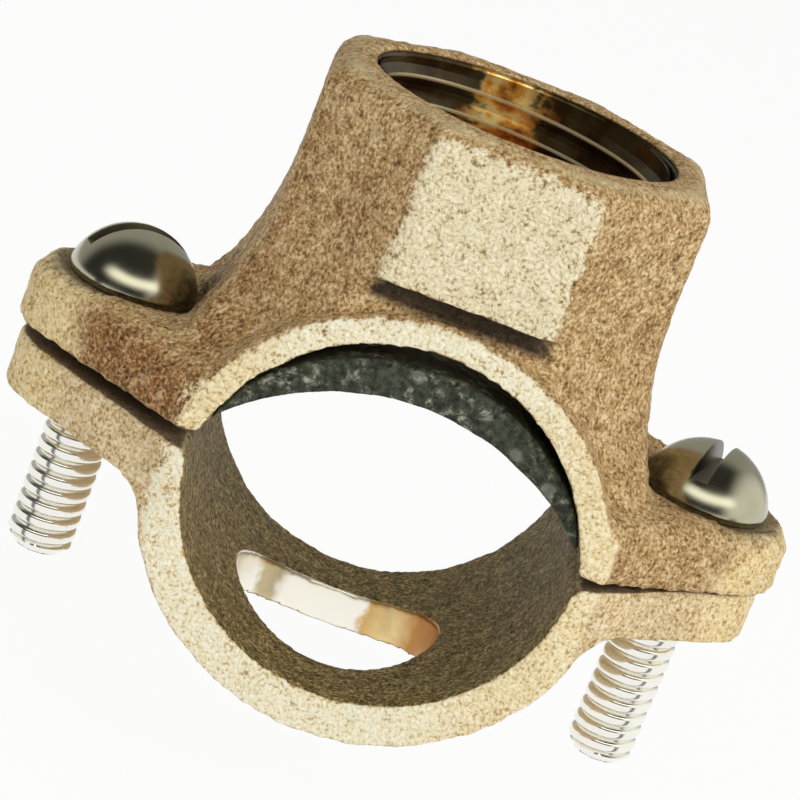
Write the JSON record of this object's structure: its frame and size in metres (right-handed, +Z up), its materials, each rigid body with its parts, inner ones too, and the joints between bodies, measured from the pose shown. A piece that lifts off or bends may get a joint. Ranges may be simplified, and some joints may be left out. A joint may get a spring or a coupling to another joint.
{
  "type": "tapping saddle",
  "caption": "Tapping saddle: cast bronze half clamp with an octagonal threaded outlet, a matching strap, a rubber gasket and slotted screws that draw them together round a pipe.",
  "frame": {"origin": "where the strap's bore axis crosses the outlet's axis, midway between the left ears' faces", "axes": "+X along the ears towards the right screw, +Y along the pipe, away from the camera in the picture, +Z up along the outlet"},
  "size_m": [0.0553, 0.027, 0.0421],
  "materials": {
    "cast_bronze": "sand cast, grainy",
    "gasket_rubber": "moulded, dull, dusted with talc",
    "plated_steel": "nickel plated"
  },
  "bodies": {
    "saddle": {"upper_saddle": "cast_bronze", "gasket": "gasket_rubber"},
    "strap": {"lower_strap": "cast_bronze"},
    "left_screw": {"left_screw": "plated_steel"},
    "right_screw": {"right_screw": "plated_steel"}
  },
  "joints": [
    {"name": "strap_slide", "type": "slide", "parent": "saddle", "child": "strap", "axis": [0, 0, -1], "range_m": [0, 0.01058]},
    {"name": "left_screw_turn", "type": "hinge", "parent": "saddle", "child": "left_screw", "pos_m": [-0.021, 0, 0], "axis": [0, 0, 1], "range_deg": [0, 3600]},
    {"name": "right_screw_turn", "type": "hinge", "parent": "saddle", "child": "right_screw", "pos_m": [0.021, 0, 0], "axis": [0, 0, 1], "range_deg": [0, 3600]}
  ],
  "couplings": [
    {"joint": "left_screw_turn", "follows": "strap_slide", "rad_per_m": 5936.9},
    {"joint": "right_screw_turn", "follows": "strap_slide", "rad_per_m": 5936.9}
  ]
}
